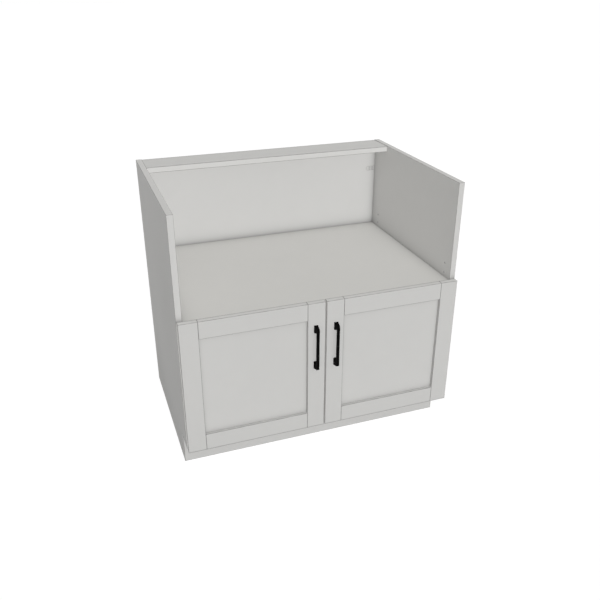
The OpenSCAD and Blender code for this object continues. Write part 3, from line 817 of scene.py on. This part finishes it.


# Top stretcher
# Painted board that lies flat along the top of the back and ties the sides together. Cam
# locks under its ends pull it to the sides.
# Painted dark line along the rear edge of its top face
stretcher_rear = (0.4, 4 * MM)
stretch_cams = cam_bores((stretch_low.y + stretch_high.y) / 2)
stretcher_paint = make_paint("stretcher_paint", paint_colour, make_joint_shade(
    "rear_edge", ("z", stretch_high.z), (("y", stretch_high.y, *stretcher_rear),)))
plain_board("top_stretcher", "z", "stretcher_board", {"low": stretch_cams}, stretcher_paint)


# Doors
# Five-piece doors: two stiles, two rails with tongues in the stiles' grooves, and a thin
# centre panel that floats in the grooves. The hinge stile is bored for the hinge cups, the
# other one for the screws of the pull.

# The way along x from each door towards the middle of the cabinet, and the rims of a door's
# boards in the order of their outlines
INWARDS = {"left": 1, "right": -1}
LEFT_RIM, TOP_RIM, RIGHT_RIM, BOTTOM_RIM = range(4)
groove_deep = 10 * MM
groove_room = 0.05 * MM
groove_rim = 0.3 * MM
groove_strip = 0.25 * MM
groove_stop = 3 * MM
haunch = 14 * MM
tongue_l = 9.7 * MM
tongue_room = 0.3 * MM
door_strip = 0.75 * MM
rear_strip = 0.25 * MM
cup_bore_r = 17.55 * MM
cup_bore_deep = 13.8 * MM
cup_in = 13.5 * MM
hinge_up = 78 * MM
hinge_down = 100 * MM
pull_hole_r = 2.1 * MM
pull_c = 128 * MM
pull_x = 33.5 * MM
pull_down = 153 * MM
# Painted shades on the doors: darker towards the floor, a dark line along the lower edge, the
# pull's painted shadow, painted light on the top rim with shade at its rear edge, shade at the
# back of the meeting rim, and shade round the panel's recess, on its walls and on the ledge
door_over_floor, door_lower_edge = (0.05, 250 * MM), (0.8, 1.2 * MM)
door_by_pull = (0.12, 7 * MM)
rim_painted_light, rim_by_deck = (-0.07, 10 * MM), (0.9, 1.8 * MM)
gap_at_back = (0.25, 12 * MM)
recess_floor, recess_roof, recess_side = (0.32, 8.5 * MM), (0.2, 5 * MM), (0.24, 5 * MM)
wall_by_panel, ledge_by_panel = (0.25, 12 * MM), (0.3, 12 * MM)

pull_z = door_high.z - pull_down
recess_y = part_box("right_door_panel")[0].y
recess_low, recess_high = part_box("right_bottom_rail")[1].z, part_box("right_top_rail")[0].z
recess_near, recess_far = door_high.x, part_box("right_hinge_stile")[0].x
door_front = make_joint_shade("door_front", ("y", door_low.y), (
    ("z", 0.0, *door_over_floor), ("z", door_low.z, *door_lower_edge),
    ("x", pull_x, *door_by_pull, "z", pull_z, pull_c / 2)))
upper_rim = make_joint_shade("upper_rim", ("z", door_high.z), (
    ("z", door_high.z, *rim_painted_light), ("y", door_high.y, *rim_by_deck)))
meeting_rim = make_joint_shade(
    "meeting_rim", ("x", door_low.x), (("y", door_high.y, *gap_at_back),))
door_paint = make_paint(
    "door_paint", paint_colour, door_front, upper_rim, meeting_rim,
    make_joint_shade("panel_recess", ("y", recess_y), (
        ("z", recess_low, *recess_floor), ("z", recess_high, *recess_roof),
        ("x", recess_near, *recess_side), ("x", recess_far, *recess_side))),
    make_joint_shade("near_wall", ("x", recess_near), (("y", recess_y, *wall_by_panel),)),
    make_joint_shade("far_wall", ("x", recess_far), (("y", recess_y, *wall_by_panel),)))
ledge_paint = make_paint(
    "ledge_paint", paint_colour, door_front,
    make_joint_shade("ledge", ("z", recess_low), (("y", recess_y, *ledge_by_panel),)))


def slit(start, end, low, high):
    """Groove or tongue in a rim: a long rectangle between two distances from the rim's first
    corner and two places along the axis, as a function like that of disc."""
    return lambda out: rectangle((start - out, low - out), (end + out, high + out))


def door_board(side, part, name, cuts):
    """Part of a door's frame, with the openings of its faces and rims."""
    low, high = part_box(f"{side}_{part}")
    inset = tongue_l if part.endswith("rail") else 0
    outline = rectangle((low.z, low.x + inset), (high.z, high.x - inset))
    board = board_shell(outline, low.y, high.y, "y", cuts, strip=door_strip,
                        far_strip=rear_strip)
    paint = ledge_paint if part == "bottom_rail" else door_paint
    finish_piece(board.object(name), f"{side}_door", paint, f"{side}_{part}")


def panel_groove(side, start, end):
    """Groove in an inner rim that takes the centre panel and the tongues."""
    low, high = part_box(f"{side}_door_panel")
    shape = slit(start, end, low.y - groove_room, high.y + groove_room)
    return opening(shape, groove_deep, groove_rim, groove_strip)


def make_stiles(side):
    """The upright parts of a door, each with a groove along its inner rim. The hinge stile's
    back has a bore for each cup, and the pull stile a hole for each screw of the pull."""
    low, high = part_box(f"{side}_hinge_stile")
    height, thick = high.z - low.z, high.y - low.y
    groove = panel_groove(side, haunch, height - haunch)
    hinge_rim, pull_rim = (RIGHT_RIM, LEFT_RIM) if side == "left" else (LEFT_RIM, RIGHT_RIM)
    pin_low, pin_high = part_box(f"{side}_hinge_pins")
    cup_x = (pin_low.x + pin_high.x) / 2 + INWARDS[side] * cup_in
    cups = [
        opening(disc((z, cup_x), cup_bore_r), cup_bore_deep, lip, groove_strip)
        for z in (bottom_high.z + hinge_up, deck_high.z - hinge_down)]
    door_board(side, "hinge_stile", f"{side}_hinge_stile_wood",
               {hinge_rim: [groove], "high": cups})
    holes = [
        disc((z, -INWARDS[side] * pull_x), pull_hole_r)
        for z in (pull_z - pull_c / 2, pull_z + pull_c / 2)]
    door_board(side, "pull_stile", f"{side}_pull_stile_wood", {
        pull_rim: [groove], "low": [opening(hole, None) for hole in holes],
        "high": [opening(hole, thick - lip, capped=False) for hole in holes]})


def make_rails(side):
    """The level parts of a door. Each has a groove along its inner rim and a tongue at each
    end, which is narrower than the rail by what it leaves free below and above."""
    panel_low, panel_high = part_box(f"{side}_door_panel")
    shoulder = haunch + tongue_room
    for part, inner_rim, below, above in (
            ("top_rail", BOTTOM_RIM, shoulder, groove_deep),
            ("bottom_rail", TOP_RIM, groove_deep, shoulder)):
        low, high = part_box(f"{side}_{part}")
        length, span = high.x - low.x - 2 * tongue_l, high.z - low.z
        cuts = {inner_rim: [panel_groove(side, groove_stop, length - groove_stop)]}
        for rim, start, end in (
                (LEFT_RIM, below, span - above), (RIGHT_RIM, above, span - below)):
            tongue = slit(start, end, panel_low.y, panel_high.y)
            cuts[rim] = [opening(tongue, -tongue_l, 0, groove_strip)]
        door_board(side, part, f"{side}_{part}_wood", cuts)


def make_centre_panel(side):
    """The thin board that the grooves hold."""
    low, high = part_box(f"{side}_door_panel")
    outline = rectangle((low.z, low.x), (high.z, high.x))
    panel = board_shell(outline, low.y, high.y, "y").object(f"{side}_centre_panel")
    finish_piece(panel, f"{side}_door", door_paint, f"{side}_door_panel")


for side in SIDES:
    make_stiles(side)
    make_rails(side)
    make_centre_panel(side)


# Black pulls
# Slim cast bars whose feet spread towards the door, powder coated black. Each is held by two
# screws that come through the stile from behind.
foot_h = 26 * MM
foot_w = 13.5 * MM
tip_h = 15.5 * MM
grip_w = 9 * MM
grip_t = 7 * MM
reach = 22.5 * MM
bend_outer = 2 * MM
bend_inner = 1.5 * MM
pull_ease = 0.9 * MM
turn_steps = 7
coat = ((0.0002, 0.0002, 0.0002), (0.0024, 0.0024, 0.0023))
coat_cloud = (140.0, 3.0, 0.6)
coat_grain = (1500.0, 2.0)
coat_gloss = 0.03
coat_rough = (0.5, 0.62)
coat_bump = (0.03 * MM, 0.6)


def rounded_turn(before, corner, after, radius):
    """Points of the arc that rounds a corner of a line, from one tangent point to the other.
    The arc's centre lies on the corner's bisector."""
    before, corner, after = (np.array(p, float) for p in (before, corner, after))
    first = (corner - before) / np.linalg.norm(corner - before)
    second = (after - corner) / np.linalg.norm(after - corner)
    turn = math.atan2(cross(first, second), first @ second)
    reach_back = radius * math.tan(abs(turn) / 2)
    side = np.array([-first[1], first[0]]) * np.sign(turn)
    centre = corner - reach_back * first + radius * side
    angle = math.atan2(-side[1], -side[0]) + np.linspace(0, turn, turn_steps)
    return centre + radius * np.stack([np.cos(angle), np.sin(angle)], axis=1)


def half_line(distance, tip, root, radius):
    """One side of the pull from the middle of its grip to its upper foot, in the plane of the
    distance from the door and the height, and the same mirrored down to the lower foot."""
    turned = rounded_turn((distance, 0), (distance, tip), (0, root), radius)
    upper = np.concatenate([[(distance, 0)], turned, [(0, root)]])
    return np.concatenate([upper[:0:-1] * np.array([1, -1]), upper])


def add_capped(shell, rings):
    """Adds a tube given as rings of points, and closes both its ends."""
    around = np.arange(rings.shape[1])
    shell.add_grid(rings, 0.0, back=True)
    shell.add(rings[0], 0.0, [around])
    shell.add(rings[-1], 0.0, [around[::-1]])


def pull_shell(door_face, at_x, at_z):
    """Bar pull as one tube. Its stations run from the lower foot along the grip to the upper
    foot, and each is a pair of points, one of the outer side and one of the inner. The
    section there is a rectangle with rounded corners, as wide as the foot's taper gives at
    that distance from the door."""
    under = reach - grip_t
    outer = half_line(reach, (pull_c + tip_h) / 2, (pull_c + foot_h) / 2, bend_outer)
    inner = half_line(under, (pull_c - tip_h) / 2, (pull_c - foot_h) / 2, bend_inner)
    middle = (outer + inner) / 2
    across = (outer - inner) / 2
    half = np.linalg.norm(across, axis=1)[:, None]
    unit = across / half
    ways = np.array([(1, 1), (-1, 1), (-1, -1), (1, -1)])
    quarter = np.repeat(np.arange(len(ways)), bend_steps + 1)
    bend = np.tile(np.linspace(0, quarter_turn, bend_steps + 1), len(ways))
    angle = bend + quarter * quarter_turn
    way_x, way_out = ways[quarter].T
    place = np.where(way_out[None] > 0, outer[:, :1], inner[:, :1])
    wide = np.interp(place, [0, under, reach], [foot_w / 2, grip_w / 2, grip_w / 2])
    x = way_x * (wide - pull_ease) + pull_ease * np.cos(angle)
    out = way_out * (half - pull_ease) + pull_ease * np.sin(angle)
    plane = middle[:, None] + out[..., None] * unit[:, None]
    points = np.stack([at_x + x, door_face - plane[..., 0], at_z + plane[..., 1]], axis=-1)
    shell = Shell()
    add_capped(shell, points)
    return shell


def make_black():
    """Powder coat: near black, fine grained, with a dull sheen."""
    material, tree, shader = new_finish("black_powder_coat")
    shader.inputs["Specular IOR Level"].default_value = coat_gloss
    colour = blend_colours(tree, add_noise(tree, *coat_cloud), *coat)
    grain = add_noise(tree, *coat_grain)
    rough = remap(tree, grain, noise_span, coat_rough)
    link_finish(tree, shader, colour, rough, grain, *coat_bump)
    return material


black_coat = make_black()
for side in SIDES:
    pull = pull_shell(door_low.y, -INWARDS[side] * pull_x, pull_z).object(f"{side}_bar_pull")
    finish_piece(pull, f"{side}_door", black_coat, f"{side}_pull")


# Deck cleats and dowels
# The cleats that carry the deck are planed softwood and the dowels are beech. Screws hold
# the cleats, and the dowels are glued into the boards' ends.
pine = ((0.60, 0.42, 0.23), (0.44, 0.26, 0.12))
beech = ((0.56, 0.36, 0.20), (0.47, 0.28, 0.14))
along_grain = 0.04
ring_cloud = (24.0, 2.0, 0.45)
ring_turns = 90.0
late_span = (-0.2, 1.0)
late_share = 0.65
fibre_noise = (1100.0, 3.0, 0.6)
timber_gloss = 0.3
timber_rough = (0.5, 0.68)
timber_bump = (0.06 * MM, 0.7)


def dress(material, *nodes):
    """Gives CAD nodes whose shape is right a finer material."""
    for node in nodes:
        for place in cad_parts[node].material_slots:
            place.material = material


def make_timber(name, colours, axis):
    """Planed timber with its grain along an axis: growth rings as the sine of a slow noise,
    and fine fibres that lie on top of them."""
    material, tree, shader = new_finish(name)
    shader.inputs["Specular IOR Level"].default_value = timber_gloss
    stretch = tuple(along_grain if letter == axis else 1.0 for letter in "xyz")
    slow = add_noise(tree, *ring_cloud, stretch)
    rings = combine(tree, "SINE", combine(tree, "MULTIPLY", slow, ring_turns))
    fibre = add_noise(tree, *fibre_noise, stretch)
    share = weigh(tree, remap(tree, rings, late_span), remap(tree, fibre, noise_span), late_share)
    colour = blend_colours(tree, share, *colours)
    rough = remap(tree, fibre, noise_span, timber_rough)
    link_finish(tree, shader, colour, rough, share, *timber_bump)
    return material


dress(make_timber("planed_pine_deep", pine, "y"), "deck_cleat_left", "deck_cleat_right")
dress(make_timber("planed_pine_wide", pine, "x"), "deck_cleat_back")
dress(make_timber("turned_beech", beech, "x"), "wood_dowels")


# Cam locks, bolts and screws
# Die cast cam locks with a nickel coat pull the boards together on zinc coated steel bolts.
# Countersunk screws, zinc coated as well, hold the cleats, the deck and the pulls.
zinc = ((0.60, 0.60, 0.585), (0.70, 0.70, 0.69))
nickel = ((0.46, 0.455, 0.44), (0.53, 0.525, 0.51))
zinc_rough = (0.26, 0.42)
nickel_rough = (0.2, 0.36)
plate_cloud = (60.0, 3.0, 0.45)
plate_span = (0.25, 0.75)
plate_grain = (2600.0, 2.0)
plate_bump = (0.01 * MM, 0.5)


def make_plated(name, colours, roughs):
    """Plated steel: cloudy in its colour and gloss, with a fine grain."""
    material, tree, shader = new_finish(name)
    shader.inputs["Metallic"].default_value = 1.0
    cloud = add_noise(tree, *plate_cloud)
    colour = blend_colours(tree, remap(tree, cloud, plate_span), *colours)
    rough = remap(tree, cloud, noise_span, roughs)
    link_finish(tree, shader, colour, rough, add_noise(tree, *plate_grain), *plate_bump)
    return material


bright_zinc = make_plated("bright_zinc", zinc, zinc_rough)
satin_nickel = make_plated("satin_nickel", nickel, nickel_rough)
dress(satin_nickel, "cam_locks")
dress(bright_zinc, "cam_bolts", "cleat_screws", "deck_screws", "left_pull_screws",
      "right_pull_screws")


# Hinges
# Concealed hinges of pressed and nickel plated steel: a cup in the door, an arm that turns
# on the cup's pin, and a plate on the side panel. The pins and screws are zinc coated.
for side in SIDES:
    dress(satin_nickel, f"{side}_hinge_cups", f"{side}_hinge_arms", f"{side}_hinge_plates")
    dress(bright_zinc, f"{side}_hinge_pins", f"{side}_cup_screws")
dress(bright_zinc, "hinge_plate_screws", "hinge_arm_screws")


# Bumpers
# Two soft clear domes on the back of each door, stuck on near its free corners, that meet
# the carcass when the door closes.
dome_count = 9
# Power that flattens the dome, and the share of the way to its pole that the rings go
dome_round = 0.55
dome_share = 0.97
milk = ((0.60, 0.60, 0.57), (0.70, 0.70, 0.68))
milk_cloud = (400.0, 3.0)
milk_share = 0.3
milk_depth = 1.5 * MM
pad_rough = (0.25, 0.4)
pad_bump = (0.02 * MM, 0.4)


def dome_rings(at, radius, door_back, tall):
    """Rings of a flattened dome on the door's back face. Its half section is a
    superellipse: distance and height are powers of the cosine and the sine."""
    angle = np.linspace(0, quarter_turn * dome_share, dome_count)
    away = radius * np.cos(angle) ** dome_round
    rise = tall * np.sin(angle) ** dome_round
    away, rise = np.append(away[0], away), np.append(0, rise)
    turn = np.arange(ring_count) * 2 * math.pi / ring_count
    x = at[0] + away[:, None] * np.cos(turn)
    z = at[1] + away[:, None] * np.sin(turn)
    return np.stack([x, np.broadcast_to(door_back + rise[:, None], x.shape), z], axis=-1)


def make_pad():
    """Clear polyurethane gone slightly milky, with a soft gloss."""
    material, tree, shader = new_finish("milky_polyurethane")
    shader.inputs["Subsurface Weight"].default_value = milk_share
    shader.inputs["Subsurface Scale"].default_value = milk_depth
    cloud = add_noise(tree, *milk_cloud)
    colour = blend_colours(tree, cloud, *milk)
    rough = remap(tree, cloud, noise_span, pad_rough)
    link_finish(tree, shader, colour, rough, cloud, *pad_bump)
    return material


pad = make_pad()
for side in SIDES:
    low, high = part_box(f"{side}_bumpers")
    radius = (high.x - low.x) / 2
    shell = Shell()
    for z in (low.z + radius, high.z - radius):
        add_capped(shell, dome_rings(((low.x + high.x) / 2, z), radius, low.y, high.y - low.y))
    finish_piece(shell.object(f"{side}_door_bumpers"), f"{side}_door", pad,
                 f"{side}_bumpers")
